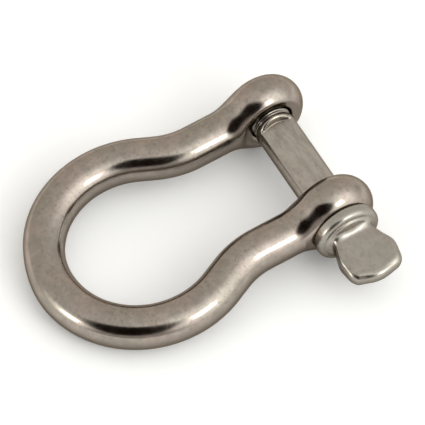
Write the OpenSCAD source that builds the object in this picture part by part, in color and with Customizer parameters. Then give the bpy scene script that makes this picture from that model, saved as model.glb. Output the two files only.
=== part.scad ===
// Bow shackle with a screw pin.
//
// Two pieces: the bow, a round bar bent into a wide eye with a waist in each arm and an ear on each
// end, and the pin, which passes the plain ear and screws into the tapped one.
// Origin: on the pin's axis, midway between the ears.
// +X along the pin towards its tab, -Y towards the bow, +Z square to the bow's plane.

/* [Bow] */
// Diameter of the round bar
rod_d = 10; // [9.6:0.1:10.4]
// Inside diameter of the round end
bow_in_d = 34; // [33:0.5:36]
// Clear length from the pin to the inside of the round end
bow_in_l = 52.8; // [48:1:60]
// Radius of the reverse bend at each waist, on the bar's centre line
waist_r = 19.5; // [18:0.5:22]
// Slope of the sides where they leave the round end, in degrees
waist_a = 26; // [25:1:30]
// Clear gap between the straight arms
arm_gap = 21.8; // [21.4:0.1:22.2]

/* [Ears] */
// Gap between the flat seats inside the ears
jaw_w = 23.4; // [23:0.1:23.8]
// Thickness of an ear between its flat seats
ear_t = 9.1; // [8.8:0.1:9.4]
// Outside diameter of an ear
ear_d = 19.4; // [19:0.1:20]
// Radius of the rounding all round an ear
ear_round_r = 5.4; // [5.2:0.1:5.6]

/* [Pin] */
// Diameter of the pin's shank and of its thread
pin_d = 9.7; // [9.4:0.1:9.8]
// Thickness across the two flats
flat_t = 5.7; // [5:0.1:7]
// How far the threaded end stands out of the far ear
tip_out = 0.8; // [0.2:0.1:2]
// Diameter of the collar
collar_d = 15.6; // [15:0.1:16.4]
// Thickness of the collar
collar_t = 2.9; // [2.6:0.1:3.2]

/* [Tab] */
// Thickness of the tab at its root
tab_root_t = 7; // [6:0.1:7.2]
// Thickness of the tab at its tip
tab_tip_t = 3.6; // [3:0.1:4.4]
// Distance from the collar to the tab's outer end
tab_l = 13.4; // [13:0.1:15]
// Scale of the tab's width
tab_w_scale = 1; // [0.9:0.05:1.1]

/* [Hidden] */
$fn = 96;
eps = 0.01;
steel = "#b4aba1";
pin_steel = "#b9b1a8";

// Bow: centre-line geometry
rod_r = rod_d / 2;
bow_r = bow_in_d / 2 + rod_r;
arm_x = arm_gap / 2 + rod_r;
bow_y = bow_r - (bow_in_l + pin_d / 2 + rod_r);
flank_l = (bow_r * cos(waist_a) - waist_r * (1 - cos(waist_a)) - arm_x) / sin(waist_a);
flank_start = [bow_r * cos(waist_a), bow_y + bow_r * sin(waist_a)];
flank_end = flank_start + flank_l * [-sin(waist_a), cos(waist_a)];
waist_c = flank_end + waist_r * [cos(waist_a), sin(waist_a)];
// Each straight run is a hair thinner than the bends, and its ends lie just inside them
straight_r = rod_r - 0.02;
lap = 0.3;

// Ears
ear_r = ear_d / 2;
ear_flat_r = ear_r - ear_round_r;
seat_in_x = jaw_w / 2;
seat_out_x = seat_in_x + ear_t;
seat_in_r = 6.4;
seat_fade_r = ear_r;
seat_fade = 0.9;
seat_cut_depth = 4;

// Holes: the pin runs in the plain one, and its thread in the tapped one
plain_bore_r = pin_d / 2 + 0.08;
tapped_bore_r = pin_d / 2 + 0.05;
bore_chamfer = 0.6;

// Pin, from its threaded tip to its tab
pin_r = pin_d / 2;
tip_chamfer = 0.9;
relief_r = pin_r - 0.65;
relief_l = 1.5;
shoulder_x = -(seat_in_x - 1);
flat_start_x = shoulder_x + 0.9;
flat_end_x = seat_in_x - 1.2;
flat_runout_r = 8;
collar_x = seat_out_x + collar_t;
boss_r = 6.2;
boss_t = 1.2;
boss_out = 0.45;
neck_r = 5.7;
neck_end_r = 4.6;
neck_out = 1;
neck_taper = 0.7;
tab_root_out = 0.8;
tab_tip_in = 1.6;

// The tab's outline: each corner is [distance from the collar, side, corner radius]
tab_corners = [
    [0, -4.3, 0],
    [5.6, -6.1, 5],
    [tab_l - 3.2, -5.7, 4],
    [tab_l - 1.8, -4.6, 1.2],
    [tab_l, 0.4, 8],
    [tab_l - 1.4, 6.9, 2.8],
    [6.7, 7.8, 4],
    [4, 6.3, 4],
    [0, 4.3, 0]
];

// Points of a closed outline whose corners [x, y, radius] are rounded by arcs
function unit(v) = v / norm(v);
function arc_points(c, p, q, steps) =
    let (a = atan2(p.y - c.y, p.x - c.x), b = atan2(q.y - c.y, q.x - c.x))
    let (turn = (b - a + 540) % 360 - 180)
    [for (i = [0:steps]) c + norm(p - c) * [cos(a + turn * i / steps), sin(a + turn * i / steps)]];
function corner_points(before, corner, after, r) =
    let (u = unit(before - corner), v = unit(after - corner))
    let (half = acos(u * v) / 2)
    let (reach = r / tan(half), centre = corner + unit(u + v) * r / sin(half))
    arc_points(centre, corner + u * reach, corner + v * reach, 8);
function rounded(corners) = [
    for (i = [0:len(corners) - 1])
        let (n = len(corners), c = corners[i], p = corners[(i + n - 1) % n], q = corners[(i + 1) % n])
        each c[2] == 0
            ? [[c.x, c.y]]
            : corner_points([p.x, p.y], [c.x, c.y], [q.x, q.y], c[2])
];

// A cylinder along +X from x0 to x1, tapering if r1 is given
module rod_x(x0, x1, r0, r1 = undef)
    translate([x0, 0, 0])
        rotate([0, 90, 0])
            cylinder(h = x1 - x0, r1 = r0, r2 = is_undef(r1) ? r0 : r1);

// A disc about the X axis with a half-round rim
module round_rim_disc(x0, x1, r) {
    rim_r = (x1 - x0) / 2;
    rod_x(x0, x1, r - rim_r);
    translate([x0 + rim_r, 0, 0])
        rotate([0, 90, 0])
            rotate_extrude()
                translate([r - rim_r, 0])
                    circle(r = rim_r);
}

// A bend of the round bar about centre c, from angle a0 through turn degrees
module bend(c, r, a0, turn)
    translate(c)
        rotate([0, 0, a0])
            rotate_extrude(angle = turn)
                translate([r, 0])
                    circle(d = rod_d);

// A straight run of the bar from point p, l long, turned by a degrees from the Y axis
module straight(p, l, a)
    translate(p)
        rotate([-90, 0, a])
            translate([0, 0, -lap])
                cylinder(h = l + 2 * lap, r = straight_r);

// The right-hand side of the bar, from the round end to the ear's centre
module bar_side() {
    straight(flank_start, flank_l, waist_a);
    bend(waist_c, waist_r, 180, waist_a);
    straight([arm_x, waist_c.y], -waist_c.y, 0);
}

// One ear: a disc about the pin's axis with a fully rounded rim
module ear()
    translate([arm_x, 0, 0])
        rotate([0, 90, 0])
            rotate_extrude() {
                translate([0, -ear_round_r])
                    square([ear_flat_r, 2 * ear_round_r]);
                intersection() {
                    translate([ear_flat_r, 0])
                        circle(r = ear_round_r);
                    translate([ear_flat_r, -ear_round_r])
                        square(2 * ear_round_r);
                }
            }

// The seats cut on both faces of an ear; the inner one runs out into the arm on a shallow cone
module seat_cuts() {
    rod_x(seat_in_x - seat_fade, seat_in_x, seat_fade_r, seat_in_r);
    rod_x(seat_in_x - seat_cut_depth, seat_in_x - seat_fade + eps, seat_fade_r);
    rod_x(seat_out_x, seat_out_x + seat_cut_depth, ear_r);
}

// A hole through the ear on the +X side, chamfered on both faces
module ear_hole(r) {
    rod_x(seat_in_x - 1, seat_out_x + 1, r);
    rod_x(seat_in_x - eps, seat_in_x + bore_chamfer, r + bore_chamfer + eps, r);
    rod_x(seat_out_x - bore_chamfer, seat_out_x + eps, r, r + bore_chamfer + eps);
}

module bow() color(steel)
    difference() {
        union() {
            bend([0, bow_y], bow_r, 180 - waist_a, 180 + 2 * waist_a);
            for (side = [0, 1])
                mirror([side, 0, 0]) {
                    bar_side();
                    ear();
                }
        }
        for (side = [0, 1])
            mirror([side, 0, 0])
                seat_cuts();
        ear_hole(plain_bore_r);
        mirror([1, 0, 0])
            ear_hole(tapped_bore_r);
    }

// What the cutter takes off one side of the shank, with a round run-out at the far end
module flat_cut()
    translate([0, 0, flat_t / 2])
        linear_extrude(pin_d)
            intersection() {
                translate([flat_start_x, -pin_d])
                    square([flat_end_x - flat_start_x, 2 * pin_d]);
                union() {
                    translate([flat_start_x + flat_runout_r, 0])
                        circle(r = flat_runout_r);
                    translate([flat_start_x + flat_runout_r, -pin_d])
                        square([flat_end_x - flat_start_x, 2 * pin_d]);
                }
            }

module shank()
    difference() {
        union() {
            rod_x(-seat_out_x - tip_out, -seat_out_x - tip_out + tip_chamfer, pin_r - tip_chamfer, pin_r);
            rod_x(-seat_out_x - tip_out + tip_chamfer, shoulder_x - relief_l, pin_r);
            rod_x(shoulder_x - relief_l, shoulder_x, relief_r);
            rod_x(shoulder_x, seat_out_x, pin_r);
        }
        flat_cut();
        mirror([0, 0, 1])
            flat_cut();
    }

// The collar that stops against the ear, the round-rimmed boss on it and the stub under the tab
module collar() {
    round_rim_disc(seat_out_x, collar_x, collar_d / 2);
    round_rim_disc(collar_x + boss_out - boss_t, collar_x + boss_out, boss_r);
    rod_x(collar_x - collar_t / 2, collar_x + neck_out - neck_taper, neck_r);
    rod_x(collar_x + neck_out - neck_taper, collar_x + neck_out, neck_r, neck_end_r);
}

// The tab's plan, seen square to its faces
module tab_plan()
    linear_extrude(2 * tab_root_t, center = true)
        translate([collar_x, 0])
            polygon([for (p = rounded(tab_corners)) [p.x, p.y * tab_w_scale]]);

// Half of the tab's side view, which tapers from root to tip
module tab_half_side()
    polygon([
        [collar_x, 0],
        [collar_x, tab_root_t / 2],
        [collar_x + tab_root_out, tab_root_t / 2],
        [collar_x + tab_l - tab_tip_in, tab_tip_t / 2],
        [collar_x + 2 * tab_l, tab_tip_t / 2],
        [collar_x + 2 * tab_l, 0]
    ]);

module tab_side()
    rotate([90, 0, 0])
        linear_extrude(4 * collar_d, center = true) {
            tab_half_side();
            mirror([0, 1])
                tab_half_side();
        }

module pin() color(pin_steel) {
    shank();
    collar();
    intersection() {
        tab_plan();
        tab_side();
    }
}

bow();
pin();
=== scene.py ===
"""Bow shackle with a screw pin: the looks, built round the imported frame.

Lengths in the shape section are millimetres in the frame's axes: X along the pin, -Y towards the
bow's round end, Z square to the bow. They become metres when a mesh is made.
"""
import math

import bpy
import numpy as np
import openvdb
from mathutils import Matrix, Vector


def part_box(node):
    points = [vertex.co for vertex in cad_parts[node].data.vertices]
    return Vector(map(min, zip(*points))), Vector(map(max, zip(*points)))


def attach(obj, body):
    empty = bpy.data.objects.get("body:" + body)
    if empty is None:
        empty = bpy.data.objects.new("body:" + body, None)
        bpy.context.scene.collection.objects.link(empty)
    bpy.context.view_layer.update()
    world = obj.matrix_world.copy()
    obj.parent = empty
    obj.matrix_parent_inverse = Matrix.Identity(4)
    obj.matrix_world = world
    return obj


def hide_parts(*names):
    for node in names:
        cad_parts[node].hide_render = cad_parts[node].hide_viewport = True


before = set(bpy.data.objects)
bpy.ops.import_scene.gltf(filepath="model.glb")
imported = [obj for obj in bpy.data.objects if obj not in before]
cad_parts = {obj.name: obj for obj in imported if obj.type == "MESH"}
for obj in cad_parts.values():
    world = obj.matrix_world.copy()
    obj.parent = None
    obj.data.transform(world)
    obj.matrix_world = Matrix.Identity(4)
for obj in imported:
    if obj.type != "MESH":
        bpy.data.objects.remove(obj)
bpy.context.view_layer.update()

MM = 0.001
FAR = 1e3              # a distance, in millimetres, beyond every shape
HALF_RIGHT = 0.7071    # the cosine of 45 degrees

# ---- shape: the bow -------------------------------------------------------------------------
ROD_R = 5.0            # radius of the round bar
BOW_R = 22.0           # bend radius of the round end, on the bar's centre line
BOW_Y = -40.65         # where that bend has its centre
WAIST_A = math.radians(26.0)   # slope of the sides between the round end and the waists
WAIST_R = 19.5         # reverse bend radius at the waists
ARM_X = 15.9           # half the distance between the arms' centre lines
EAR_FLAT_R = 4.3       # where an ear's rounding starts, from the pin's axis
EAR_ROUND_R = 5.4      # radius of that rounding
EAR_BLEND = 3.1        # how softly an arm runs into its ear
SEAT_IN_X = 11.7       # inner seat of an ear
SEAT_OUT_X = 20.8      # outer seat of an ear
SEAT_EDGE = (6.2, 9.8) # the inner seat fades into the arm between these radii
SEAT_FADE = 1.8        # how far it has drawn back by then
SEAT_REACH = 11.0      # past this radius nothing is cut
SEAT_END = (9.6, 11.0) # between these radii the cut draws back clear of the arm
SEAT_CLEAR = 1.2       # and by this much
SEAT_SOFT = 0.9        # softness of the seat's outline
OUTER_SEAT_R = 9.5     # the outer seat is cut flat up to this radius
OUTER_SEAT_SOFT = 0.5
CROWN_THIN = 0.28      # the round end is drawn thinner than the bar here, on the -X side
CROWN_IN = 0.1         # and its centre line is drawn in by this
CROWN_AT = (-109.0, 20.0)      # where, and over what spread, in degrees round the bend
PLAIN_BORE_R = 4.93    # the near ear's hole
TAPPED_BORE_R = 4.90   # the far ear's hole, at the crests of its own thread
BORE_CHAMFER = 0.6
BORE_SOFT = 0.3        # softness of the holes' mouths
BORE_SLOPE = 0.8       # keeps the distance to the holes true enough beside their threads
THREAD_PITCH = 1.5
THREAD_DEPTH = 0.75
NUT_THREAD = 0.6       # depth of the hole's thread, as a share of the pin's
THREAD_SHIFT = 0.15    # sets where the thread's first crest comes up round the pin

# ---- shape: the pin -------------------------------------------------------------------------
PIN_R = 4.85
TIP_X = -21.6
TIP_CHAMFER = 0.9
TIP_SOFT = 0.2
THREAD_FADE = 0.9      # the thread grows to its full depth over this length from the tip
THREAD_SLOPE = 0.75    # keeps the distance true enough on the thread's slopes
THREAD_SOFT = 0.3      # softness of its last crest
RELIEF_X = (-11.5, -10.7)      # groove between the thread and the shank
RELIEF_R = 4.2
RELIEF_LAP = 0.6       # the groove's core runs this far into its neighbours
JOIN_SOFT = 0.35       # softness of the joins between the pin's parts
FLAT_Z = 2.85          # half the thickness across the flats
FLAT_X = (-9.8, 10.5)          # the flats' run, with a round run-out at the far end
FLAT_RUNOUT_R = 8.0
FLAT_EDGE = 0.12       # how crisp the flats' long edges are
RING_ROUND = 0.8       # rounding of the ring left between the groove and the flats
RING_SOFT = 0.5        # softness of the ring's edge on the groove's side
BAR_LAP = 0.3          # the flat-sided bar runs this far into its neighbours
ROOT_SOFT = 0.4        # softness of the full round's end beside the flats
SHANK_SOFT = 0.25      # softness of the joins between ring, bar and root
COLLAR_X = (20.8, 23.7)
COLLAR_LAP = 0.5       # the shank runs this far into the collar
COLLAR_R = 7.8
COLLAR_ROUND = (0.6, 1.55)     # rounding of its rims, on the ear's side and the tab's
BOSS_X = 23.5          # crest of the boss's rounded rim
BOSS_R = 6.25
BOSS_RIM_R = 0.72
BOSS_SOFT = 0.4        # softness of the join between collar and boss
COLLAR_SOFT = 0.15     # softness of the join between shank and collar
NECK_X = 24.7          # end of the stub that the tab grows out of
NECK_R = 5.7
NECK_ROUND = 2.4
TAB_X = (24.5, 35.5)   # the tab tapers between these, from root to tip
TAB_HALF_T = (3.5, 1.8)
TAB_START = 22.5
TAB_EDGE = 1.85        # rounding of the tab's edges
TAB_ROOT = 1.3         # fillet at the tab's root
HEAD_SOFT = 0.55       # softness of the join between the tab's root and the boss


def soft_min(a, b, k):
    """The smaller of two distances, with the crease between them filled over a width k."""
    h = np.maximum(k - np.abs(a - b), 0.0) / k
    return np.minimum(a, b) - h * h * k * 0.25


def soft_max(a, b, k):
    return -soft_min(-a, -b, k)


def smooth_step(v, low, high):
    """0 below low, 1 above high, with an even slope into each."""
    t = np.clip((v - low) / (high - low), 0.0, 1.0)
    return t * t * (3 - 2 * t)


def to_segment(x, y, a, b):
    """Distance in the plane from points (x, y) to the segment from a to b."""
    dx, dy = b[0] - a[0], b[1] - a[1]
    t = np.clip(((x - a[0]) * dx + (y - a[1]) * dy) / (dx * dx + dy * dy), 0.0, 1.0)
    return np.hypot(x - a[0] - t * dx, y - a[1] - t * dy)


def centre_line():
    """The bar's centre line on the +X side: flank start, flank end, waist centre, arm start."""
    c, s = math.cos(WAIST_A), math.sin(WAIST_A)
    flank = (BOW_R * c - WAIST_R * (1 - c) - ARM_X) / s
    p0 = (BOW_R * c, BOW_Y + BOW_R * s)
    p1 = (p0[0] - flank * s, p0[1] + flank * c)
    waist = (p1[0] + WAIST_R * c, p1[1] + WAIST_R * s)
    return p0, p1, waist, (ARM_X, waist[1])


def bar_distance(x, y, z):
    """Signed distance to the round bar: round end, flank, waist and arm on both sides."""
    p0, p1, waist, arm = centre_line()
    off_crown = (np.degrees(np.arctan2(y - BOW_Y, x)) - CROWN_AT[0]) / CROWN_AT[1]
    thin = np.exp(-off_crown ** 2)
    x = np.abs(x)
    angle = np.arctan2(y - BOW_Y, x)
    on_bow = np.abs(np.hypot(x, y - BOW_Y) - BOW_R + CROWN_IN * thin)
    d = np.where(angle <= WAIST_A, on_bow, FAR)
    d = np.minimum(d, to_segment(x, y, p0, p1))
    turn = np.arctan2(waist[1] - y, waist[0] - x)
    on_waist = np.abs(np.hypot(x - waist[0], y - waist[1]) - WAIST_R)
    d = np.minimum(d, np.where((turn >= 0) & (turn <= WAIST_A), on_waist, FAR))
    d = np.minimum(d, to_segment(x, y, arm, (ARM_X, 0.0)))
    return np.hypot(d, z) - ROD_R + CROWN_THIN * thin


def bow_distance(x, y, z):
    """Signed distance to the finished bow."""
    side = np.abs(x)
    rho = np.hypot(y, z)
    ear = np.hypot(side - ARM_X, np.maximum(rho - EAR_FLAT_R, 0.0)) - EAR_ROUND_R
    d = soft_min(bar_distance(x, y, z), ear, EAR_BLEND)
    drawn_back = SEAT_FADE * smooth_step(rho, *SEAT_EDGE) + SEAT_CLEAR * smooth_step(rho, *SEAT_END)
    seat = SEAT_IN_X - drawn_back
    d = soft_max(d, -np.maximum(rho - SEAT_REACH, side - seat), SEAT_SOFT)
    outer_cut = np.maximum(rho - OUTER_SEAT_R, SEAT_OUT_X - side)
    d = soft_max(d, -outer_cut, OUTER_SEAT_SOFT)
    thread = (1 - thread_wave(x, y, z)) * THREAD_DEPTH * NUT_THREAD
    bore_r = np.where(x > 0, PLAIN_BORE_R, TAPPED_BORE_R + thread)
    mouth = np.maximum(SEAT_IN_X + BORE_CHAMFER - side, side - SEAT_OUT_X + BORE_CHAMFER)
    bore = rho - np.maximum(bore_r, TAPPED_BORE_R + np.maximum(mouth, 0.0))
    bore = np.maximum(bore * BORE_SLOPE, ROD_R - side)
    return soft_max(d, -bore, BORE_SOFT)


def thread_wave(x, y, z):
    """0 on a thread's crest and 1 in its groove, along a right-handed helix about the X axis."""
    turn = np.arctan2(z, y) / (2 * math.pi)
    return 0.5 - 0.5 * np.cos(2 * math.pi * ((x + THREAD_SHIFT) / THREAD_PITCH - turn))


def pin_distance(x, y, z):
    """Signed distance to the pin: thread, relief groove, flat-sided shank, collar, boss and tab."""
    rho = np.hypot(y, z)
    groove = THREAD_DEPTH * thread_wave(x, y, z)
    fade = np.clip((x - TIP_X - TIP_SOFT) / THREAD_FADE, 0.0, 1.0)
    thread = (rho - (PIN_R - groove * fade)) * THREAD_SLOPE
    chamfer = (rho - PIN_R + TIP_CHAMFER - (x - TIP_X)) * HALF_RIGHT
    thread = soft_max(thread, chamfer, TIP_SOFT)
    thread = soft_max(thread, TIP_X - x, TIP_SOFT)
    thread = soft_max(thread, x - RELIEF_X[0], THREAD_SOFT)
    relief = np.maximum(RELIEF_X[0] - RELIEF_LAP - x, x - RELIEF_X[1] - RELIEF_LAP)
    relief = np.maximum(rho - RELIEF_R, relief)
    run = np.hypot(x - FLAT_X[0] - FLAT_RUNOUT_R, y) - FLAT_RUNOUT_R
    run = np.where(x > FLAT_X[0] + FLAT_RUNOUT_R, np.abs(y) - FLAT_RUNOUT_R, run)
    ring = soft_max(rho - PIN_R, -run, RING_ROUND)
    ring = soft_max(ring, RELIEF_X[1] - x, RING_SOFT)
    bar = soft_max(rho - PIN_R, np.abs(z) - FLAT_Z, FLAT_EDGE)
    bar = np.maximum(bar, np.maximum(RELIEF_X[1] + BAR_LAP - x, x - FLAT_X[1] - BAR_LAP))
    root = soft_max(rho - PIN_R, FLAT_X[1] - x, ROOT_SOFT)
    root = np.maximum(root, x - COLLAR_X[0] - COLLAR_LAP)
    shank = soft_min(soft_min(ring, bar, SHANK_SOFT), root, SHANK_SOFT)
    d = soft_min(soft_min(thread, relief, JOIN_SOFT), shank, JOIN_SOFT)
    collar = soft_max(rho - COLLAR_R, x - COLLAR_X[1], COLLAR_ROUND[1])
    collar = soft_max(collar, COLLAR_X[0] - x, COLLAR_ROUND[0])
    boss = np.hypot(x - BOSS_X, np.maximum(rho - BOSS_R + BOSS_RIM_R, 0.0)) - BOSS_RIM_R
    neck = soft_max(rho - NECK_R, x - NECK_X, NECK_ROUND)
    neck = np.maximum(neck, COLLAR_X[0] - x)
    d = soft_min(d, soft_min(collar, boss, BOSS_SOFT), COLLAR_SOFT)
    tab = np.full(np.shape(x), FAR)
    near = x > TAB_START
    tab[near] = tab_distance(x[near], y[near], z[near])
    return soft_min(d, soft_min(neck, tab, TAB_ROOT), HEAD_SOFT)


# The tab's outline, seen square to its faces: each corner is (x, y, corner radius)
TAB_CORNERS = [
    (23.4, -4.3, 0.0), (29.3, -6.1, 5.0), (33.9, -5.7, 4.0), (35.3, -4.6, 1.2), (37.1, 0.4, 8.0),
    (35.7, 6.9, 2.8), (30.4, 7.8, 4.0), (27.7, 6.3, 4.0), (23.4, 4.3, 0.0),
]


def rounded_outline(corners, steps=8):
    """Points of a closed outline whose corners (x, y, radius) are rounded by arcs."""
    pts = []
    n = len(corners)
    for i, (cx, cy, r) in enumerate(corners):
        c = np.array([cx, cy])
        if r == 0:
            pts.append(c)
            continue
        u = np.array(corners[i - 1][:2]) - c
        v = np.array(corners[(i + 1) % n][:2]) - c
        u, v = u / np.linalg.norm(u), v / np.linalg.norm(v)
        half = math.acos(float(u @ v)) / 2
        w = (u + v) / np.linalg.norm(u + v)
        centre = c + w * r / math.sin(half)
        p, q = c + u * r / math.tan(half) - centre, c + v * r / math.tan(half) - centre
        a = math.atan2(p[1], p[0])
        turn = (math.atan2(q[1], q[0]) - a + 3 * math.pi) % (2 * math.pi) - math.pi
        for k in range(steps + 1):
            t = a + turn * k / steps
            pts.append(centre + r * np.array([math.cos(t), math.sin(t)]))
    return np.array(pts)


def outline_distance(x, y, pts):
    """Signed distance in the plane to a closed outline."""
    d = np.full(np.shape(x), FAR)
    inside = np.zeros(np.shape(x), bool)
    for a, b in zip(pts, np.roll(pts, -1, axis=0)):
        d = np.minimum(d, to_segment(x, y, a, b))
        crosses = (a[1] > y) != (b[1] > y)
        slope = (b[0] - a[0]) / (b[1] - a[1] + 1e-12)
        inside ^= crosses & (x < a[0] + slope * (y - a[1]))
    return np.where(inside, -d, d)


TAB_OUTLINE = rounded_outline(TAB_CORNERS)


def tab_distance(x, y, z):
    """Signed distance to the thumb tab, which tapers towards its tip."""
    plan = outline_distance(x, y, TAB_OUTLINE)
    along = np.clip((x - TAB_X[0]) / (TAB_X[1] - TAB_X[0]), 0.0, 1.0)
    half = TAB_HALF_T[0] + (TAB_HALF_T[1] - TAB_HALF_T[0]) * along
    return np.maximum(soft_max(plan, np.abs(z) - half, TAB_EDGE), TAB_START - x)
# ---- end of shape


# Three things about the surface, stored on each mesh's points for its material
UNDER_LEVEL = 0.42     # a surface whose normal rises less than this starts to count as facing down, for the painted underside shade
UNDER_SPREAD = 0.4
EDGE_BEND = (0.8, 2.0)         # bend where an edge starts to be brightened, as wear and a painted highlight, and spread to full brightening
CREASE_BEND = (0.3, 2.0)       # the same for a crease, which is drawn darker
BEND_REACH = 0.25      # how far to each side a bend is measured


def evaluate(distance, axes, slab=12):
    """The distance on a whole grid, a few slices at a time to keep memory small."""
    field = np.empty([len(a) for a in axes], np.float32)
    for i in range(0, len(axes[0]), slab):
        field[i:i + slab] = distance(*np.meshgrid(axes[0][i:i + slab], axes[1], axes[2], indexing="ij"))
    return field


def gradient(distance, p, h=0.01):
    """The slope of the distance at points p."""
    g = np.empty_like(p)
    for k in range(3):
        a, b = p.copy(), p.copy()
        a[:, k] += h
        b[:, k] -= h
        g[:, k] = (distance(*a.T) - distance(*b.T)) / (2 * h)
    return g


def curvature(distance, p, h):
    """The sum of the distance's second slopes: high on convex edges, negative in creases."""
    total = -6 * distance(*p.T)
    for k in range(3):
        for s in (-h, h):
            q = p.copy()
            q[:, k] += s
            total = total + distance(*q.T)
    return total / (h * h)


def mesh_of(name, distance, low, high, step):
    """A quad mesh of a distance's zero surface, its points moved exactly onto that surface."""
    axes = [np.arange(lo - 3 * step, hi + 4 * step, step) for lo, hi in zip(low, high)]
    grid = openvdb.FloatGrid(1.0)
    grid.copyFromArray(evaluate(distance, axes))
    points, quads = grid.convertToQuads(0.0)
    p = np.array(points, float) * step + np.array([a[0] for a in axes])
    for _ in range(4):
        g = gradient(distance, p)
        move = g * (distance(*p.T) / np.maximum((g * g).sum(1), 0.25))[:, None]
        p -= np.clip(move, -step / 2, step / 2)
    a, b, c = (p[quads[:, k]] for k in (0, 1, 3))
    facing = (np.cross(b - a, c - a) * gradient(distance, a)).sum()
    if facing < 0:
        quads = quads[:, ::-1]
    mesh = bpy.data.meshes.new(name)
    mesh.vertices.add(len(p))
    mesh.vertices.foreach_set("co", (p * MM).ravel())
    mesh.loops.add(quads.size)
    mesh.loops.foreach_set("vertex_index", np.ascontiguousarray(quads, np.int32).ravel())
    mesh.polygons.add(len(quads))
    mesh.polygons.foreach_set("loop_start", np.arange(0, quads.size, 4, dtype=np.int32))
    mesh.update(calc_edges=True)
    mesh.validate()
    mesh.shade_smooth()
    g = gradient(distance, p)
    level = g[:, 2] / np.maximum(np.linalg.norm(g, axis=1), 1e-6)
    # painted underside shade: how far each point faces down
    add_attribute(mesh, "under", np.clip((UNDER_LEVEL - level) / UNDER_SPREAD, 0, 1))
    bend = curvature(distance, p, BEND_REACH)
    add_attribute(mesh, "edge", np.clip((bend - EDGE_BEND[0]) / EDGE_BEND[1], 0, 1))
    add_attribute(mesh, "crease", np.clip((-bend - CREASE_BEND[0]) / CREASE_BEND[1], 0, 1))
    piece = bpy.data.objects.new(name, mesh)
    bpy.context.scene.collection.objects.link(piece)
    return piece, p


def add_attribute(mesh, name, values):
    mesh.attributes.new(name, "FLOAT", "POINT").data.foreach_set("value", values.astype(np.float32))


# ---- materials ------------------------------------------------------------------------------
class Nodes:
    """A short way to write a node tree."""

    def __init__(self, tree):
        self.tree = tree
        tree.nodes.clear()

    def add(self, kind, links=None, **settings):
        node = self.tree.nodes.new(kind)
        for key, value in settings.items():
            setattr(node, key, value)
        for key, value in (links or {}).items():
            if isinstance(value, bpy.types.NodeSocket):
                self.tree.links.new(value, node.inputs[key])
            else:
                node.inputs[key].default_value = value
        return node

    def math(self, operation, a, b=0.0, c=0.0):
        node = self.add("ShaderNodeMath", {0: a, 1: b, 2: c}, operation=operation)
        return node.outputs[0]

    def noise(self, at, scale, detail=3.0, rough=0.5):
        node = self.add("ShaderNodeTexNoise", {"Vector": at, "Scale": scale, "Detail": detail,
                                               "Roughness": rough})
        return node.outputs["Fac"]

    def remap(self, value, low, high, to_low, to_high):
        links = {"Value": value, "From Min": low, "From Max": high, "To Min": to_low, "To Max": to_high}
        return self.add("ShaderNodeMapRange", links, interpolation_type="SMOOTHSTEP").outputs[0]

    def mix(self, factor, a, b):
        node = self.add("ShaderNodeMix", {0: factor, 6: a, 7: b}, data_type="RGBA")
        return node.outputs[2]

    def dot(self, a, b):
        node = self.add("ShaderNodeVectorMath", {0: a, 1: b}, operation="DOT_PRODUCT")
        return node.outputs["Value"]


BOW_PINK = (0.38, 0.32, 0.28, 1)
BOW_GREEN = (0.34, 0.304, 0.26, 1)
PIN_PINK = (0.385, 0.340, 0.300, 1)
PIN_GREEN = (0.350, 0.322, 0.278, 1)
STEEL_DARK = (0.20, 0.175, 0.15, 1)
STEEL_BRIGHT = (0.465, 0.425, 0.38, 1)
# colour of the brightened edges: partly worn metal, partly a painted highlight
STEEL_WORN_AND_HIGHLIGHT = (0.60, 0.57, 0.53, 1)
STEEL_HEAD = (0.40, 0.388, 0.345, 1)
# colour of the painted dark rim, a painted shade
STEEL_RIM_SHADE = (0.07, 0.055, 0.045, 1)
STEEL_GLANCING = (0.55, 0.5, 0.45, 1)
CLOUDS, MOTTLE, SPECKS, PITS = 130.0, 430.0, 1100.0, 2600.0    # grain of the noises, per metre
GRAIN = (250, 900, 900)        # the satin grain is drawn out along the pin
BOW_POLISH = 0.10
PIN_POLISH = 0.17
BUMP_HEIGHT = 0.00004


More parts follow.
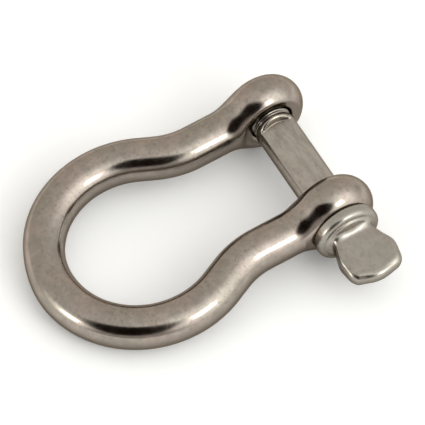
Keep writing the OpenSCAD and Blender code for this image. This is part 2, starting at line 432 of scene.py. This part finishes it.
def steel(name, pink, green, polish, satin=False):
    """Tumbled stainless steel: clouded colour and fine specks, edges brightened as wear and a painted
    highlight, darker creases, painted shade on surfaces that face down and a painted dark rim.
    """
    material = bpy.data.materials.new(name)
    material.use_nodes = True
    n = Nodes(material.node_tree)
    at = n.add("ShaderNodeTexCoord").outputs["Object"]
    clouds = n.noise(at, CLOUDS, 4.0, 0.6)
    mottle = n.noise(at, MOTTLE, 3.0, 0.65)
    specks = n.noise(at, SPECKS, 3.0, 0.6)
    pits = n.noise(at, PITS, 2.0, 0.5)
    edge = n.add("ShaderNodeAttribute", attribute_name="edge").outputs["Fac"]
    crease = n.add("ShaderNodeAttribute", attribute_name="crease").outputs["Fac"]
    under = n.add("ShaderNodeAttribute", attribute_name="under").outputs["Fac"]
    colour = n.mix(n.remap(clouds, 0.42, 0.58, 0, 1), green, pink)
    colour = n.mix(n.remap(mottle, 0.35, 0.7, 0, 0.3), colour, STEEL_DARK)
    colour = n.mix(n.remap(mottle, 0.3, 0.48, 0.2, 0), colour, STEEL_BRIGHT)
    colour = n.mix(n.remap(specks, 0.52, 0.72, 0, 0.5), colour, STEEL_DARK)
    # convex edges are brightened: partly worn metal, partly a painted highlight
    colour = n.mix(n.math("MULTIPLY", edge, 0.7), colour, STEEL_WORN_AND_HIGHLIGHT)
    # creases are drawn darker
    colour = n.mix(n.math("MULTIPLY", crease, 0.6), colour, STEEL_DARK)
    # painted shade: surfaces that face down are darkened, so they reflect a dimmer floor
    colour = n.mix(n.math("MULTIPLY", under, 0.85), colour, STEEL_DARK)
    cloudy = n.remap(clouds, 0.3, 0.7, polish, polish + 0.05)
    rough = n.math("ADD", cloudy, n.remap(mottle, 0.3, 0.7, 0.0, 0.06))
    height = n.math("ADD", n.math("MULTIPLY", specks, 0.7), n.math("MULTIPLY", pits, 0.3))
    if satin:
        stretch = n.add("ShaderNodeMapping", {"Vector": at, "Scale": GRAIN}).outputs[0]
        grain = n.noise(stretch, 1.0, 4.0, 0.65)
        flat = n.add("ShaderNodeAttribute", attribute_name="satin").outputs["Fac"]
        rough = n.math("ADD", rough, n.math("MULTIPLY", flat, n.remap(grain, 0.3, 0.7, 0.12, 0.2)))
        lift = n.math("MULTIPLY", flat, n.remap(grain, 0.35, 0.65, 0.75, 0.1))
        colour = n.mix(lift, colour, STEEL_BRIGHT)
        dull = n.add("ShaderNodeAttribute", attribute_name="dull").outputs["Fac"]
        rough = n.math("ADD", rough, n.math("MULTIPLY", dull, n.remap(mottle, 0.3, 0.7, 0.02, 0.08)))
        colour = n.mix(n.math("MULTIPLY", dull, 0.45), colour, STEEL_HEAD)
        height = n.math("ADD", height, n.math("MULTIPLY", grain, n.math("MULTIPLY", flat, 0.8)))
    # painted shade: the colour darkens towards near black where the surface turns away from the view
    facing = n.add("ShaderNodeLayerWeight", {"Blend": 0.5}).outputs["Facing"]
    colour = n.mix(n.remap(facing, 0.5, 1.0, 0, 0.8), colour, STEEL_RIM_SHADE)
    bump = n.add("ShaderNodeBump", {"Strength": 0.25, "Distance": BUMP_HEIGHT, "Height": height})
    shader = n.add("ShaderNodeBsdfPrincipled", {"Base Color": colour, "Metallic": 1.0, "Roughness": rough,
                                                "Specular Tint": STEEL_GLANCING, "Normal": bump.outputs[0]})
    n.add("ShaderNodeOutputMaterial", {"Surface": shader.outputs[0]})
    return material


# ---- pieces ---------------------------------------------------------------------------------
BOW_STEP = 0.32        # size of a face, in millimetres
PIN_STEP = 0.17
SHANK_WEAR_AND_HIGHLIGHT = 0.1       # how much the shank's edges are brightened, as wear and a painted highlight, as a share of what the head's are
MILLED_OVER = 0.05     # a point this little outside a flat still counts as on it
LEVEL = (0.93, 0.05)   # a surface this level starts to show its grain, and the spread to full
FACE_SATIN = 0.12      # how satin the tab's faces are beside the flats
DULL_SPREAD = 0.3      # the head turns dull over this length each way from the collar's foot
TAB_POLISH = (0.75, 2) # how much less dull the tab is, and over what length it becomes so


def make_bow():
    low, high = (np.array(v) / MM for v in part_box("bow"))
    piece, _ = mesh_of("bow_forging", bow_distance, low, high, BOW_STEP)
    piece.data.materials.append(steel("bow_stainless", BOW_PINK, BOW_GREEN, BOW_POLISH))
    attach(piece, "bow")
    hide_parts("bow")


def make_pin():
    low, high = (np.array(v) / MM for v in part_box("pin"))
    piece, p = mesh_of("screw_pin", pin_distance, low, high, PIN_STEP)
    level = np.abs(gradient(pin_distance, p)[:, 2])
    milled = (np.abs(p[:, 2]) < FLAT_Z + MILLED_OVER) & (p[:, 0] < FLAT_X[1])
    faced = p[:, 0] > NECK_X
    satin = np.clip((level - LEVEL[0]) / LEVEL[1], 0, 1) * (milled + FACE_SATIN * faced)
    add_attribute(piece.data, "satin", satin)
    dull = smooth_step(p[:, 0], SEAT_OUT_X - DULL_SPREAD, SEAT_OUT_X + DULL_SPREAD)
    on_tab = smooth_step(p[:, 0], NECK_X, NECK_X + TAB_POLISH[1])
    add_attribute(piece.data, "dull", dull * (1 - TAB_POLISH[0] * on_tab))
    worn_and_highlight = np.empty(len(p), np.float32)
    edge = piece.data.attributes["edge"].data
    edge.foreach_get("value", worn_and_highlight)
    # the shank's edges get much less of the edge brightening (wear and painted highlight)
    worn_and_highlight[p[:, 0] < SEAT_IN_X] *= SHANK_WEAR_AND_HIGHLIGHT
    edge.foreach_set("value", worn_and_highlight)
    piece.data.materials.append(steel("pin_stainless", PIN_PINK, PIN_GREEN, PIN_POLISH, satin=True))
    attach(piece, "pin")
    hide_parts("pin")


# ---- studio ---------------------------------------------------------------------------------
FLOOR_NORMAL = Vector((0, 0.075, 0.9972))
FLOOR_DROP = -0.0097        # the floor touches both ears and the round end
FLOOR_HALF = 3.0
AIM = Vector((0.001707, -0.023131, 0))
CAMERA_AZIMUTH = 68.853
CAMERA_ELEVATION = 58.176
CAMERA_ROLL = -9.415
CAMERA_DISTANCE = 0.88814
CAMERA_LENS = 333.96
LAMP_DISTANCE = 0.6
LAMP_COLOUR = (1.0, 0.985, 0.97)


def direction(azimuth, elevation):
    """A unit vector: azimuth 0 is towards -Y and 90 towards +X."""
    a, e = math.radians(azimuth), math.radians(elevation)
    return Vector((math.sin(a) * math.cos(e), -math.cos(a) * math.cos(e), math.sin(e)))


def make_floor():
    material = bpy.data.materials.new("paper")
    material.use_nodes = True
    n = Nodes(material.node_tree)
    at = n.add("ShaderNodeTexCoord").outputs["Object"]
    colour = n.mix(n.noise(at, 900.0, 2.0), (0.95, 0.955, 0.955, 1), (0.97, 0.975, 0.975, 1))
    shader = n.add("ShaderNodeBsdfPrincipled", {"Base Color": colour, "Roughness": 0.9,
                                                "Specular IOR Level": 0.1, "Emission Color": colour,
                                                "Emission Strength": 0.1})
    n.add("ShaderNodeOutputMaterial", {"Surface": shader.outputs[0]})
    mesh = bpy.data.meshes.new("floor")
    corners = [(FLOOR_HALF * i, FLOOR_HALF * j, 0) for i, j in ((-1, -1), (1, -1), (1, 1), (-1, 1))]
    mesh.from_pydata(corners, [], [(0, 1, 2, 3)])
    mesh.materials.append(material)
    floor = bpy.data.objects.new("floor", mesh)
    bpy.context.scene.collection.objects.link(floor)
    floor.rotation_mode = "QUATERNION"
    floor.rotation_quaternion = FLOOR_NORMAL.to_track_quat("Z", "Y")
    floor.location = FLOOR_NORMAL * FLOOR_DROP


def patch(n, view, azimuth, elevation, half_width, half_height, soft, power=2):
    """1 inside a rounded patch of the sky and 0 outside it, for the world's shader."""
    middle = direction(azimuth, elevation)
    across = direction(azimuth + 90, 0)
    up = middle.cross(across)
    u = n.math("ABSOLUTE", n.math("DIVIDE", n.dot(view, across), math.sin(math.radians(half_width))))
    v = n.math("ABSOLUTE", n.math("DIVIDE", n.dot(view, up), math.sin(math.radians(half_height))))
    reach = n.math("ADD", n.math("POWER", u, power), n.math("POWER", v, power))
    reach = n.math("POWER", reach, 1 / power)
    inside = n.remap(reach, 1.0 - soft, 1.0 + soft, 1, 0)
    return n.math("MULTIPLY", inside, n.math("GREATER_THAN", n.dot(view, middle), 0))


def make_tent():
    """A pale tent all round, brighter behind its lamps and open where the room is dark."""
    world = bpy.data.worlds.new("tent")
    bpy.context.scene.world = world
    world.use_nodes = True
    n = Nodes(world.node_tree)
    view = n.add("ShaderNodeTexCoord").outputs["Generated"]
    shade = patch(n, view, -95, 20, 62, 55, 0.6)
    colour = n.mix(n.math("MULTIPLY", shade, 0.9), (1.0, 0.99, 0.97, 1), (0.75, 0.71, 0.65, 1))
    colour = n.mix(patch(n, view, 118, 36, 32, 30, 0.65), colour, (2.3, 2.35, 2.3, 1))
    colour = n.mix(patch(n, view, -2, 17, 19, 14, 0.6), colour, (2.2, 2.2, 2.1, 1))
    colour = n.mix(patch(n, view, 52, 8, 36, 16, 0.3), colour, (0.55, 0.52, 0.5, 1))
    dark = patch(n, view, 48.5, 40, 32, 22.5, 0.2, power=2.5)
    colour = n.mix(dark, colour, (0.012, 0.007, 0.004, 1))
    background = n.add("ShaderNodeBackground", {"Color": colour, "Strength": 1.0})
    n.add("ShaderNodeOutputWorld", {"Surface": background.outputs[0]})


def soft_box(name, azimuth, elevation, half_width, half_height, radiance):
    """A lamp with a plain rectangular face, whose half width and half height are in degrees."""
    lamp = bpy.data.lights.new(name, "AREA")
    lamp.shape = "RECTANGLE"
    lamp.size = 2 * LAMP_DISTANCE * math.tan(math.radians(half_width))
    lamp.size_y = 2 * LAMP_DISTANCE * math.tan(math.radians(half_height))
    lamp.energy = radiance * math.pi * lamp.size * lamp.size_y
    lamp.color = LAMP_COLOUR
    holder = bpy.data.objects.new(name, lamp)
    bpy.context.scene.collection.objects.link(holder)
    away = direction(azimuth, elevation)
    holder.location = AIM + away * LAMP_DISTANCE
    holder.rotation_mode = "QUATERNION"
    holder.rotation_quaternion = away.to_track_quat("Z", "Y")


def make_camera():
    back = direction(CAMERA_AZIMUTH, CAMERA_ELEVATION)
    right = direction(CAMERA_AZIMUTH + 90, 0)
    up = back.cross(right)
    c, s = math.cos(math.radians(CAMERA_ROLL)), math.sin(math.radians(CAMERA_ROLL))
    right, up = right * c + up * s, up * c - right * s
    data = bpy.data.cameras.new("camera")
    data.sensor_width = 36.0
    data.lens = CAMERA_LENS
    camera = bpy.data.objects.new("camera", data)
    bpy.context.scene.collection.objects.link(camera)
    place = Matrix((right, up, back)).transposed().to_4x4()
    place.translation = AIM + back * CAMERA_DISTANCE
    camera.matrix_world = place
    bpy.context.scene.camera = camera


bpy.context.scene.view_settings.view_transform = "Standard"
make_camera()
make_bow()
make_pin()
make_floor()
make_tent()
soft_box("lamp_left", 0, 19, 7, 6, 5.5)
soft_box("lamp_right", 110, 33, 9, 9, 4.0)
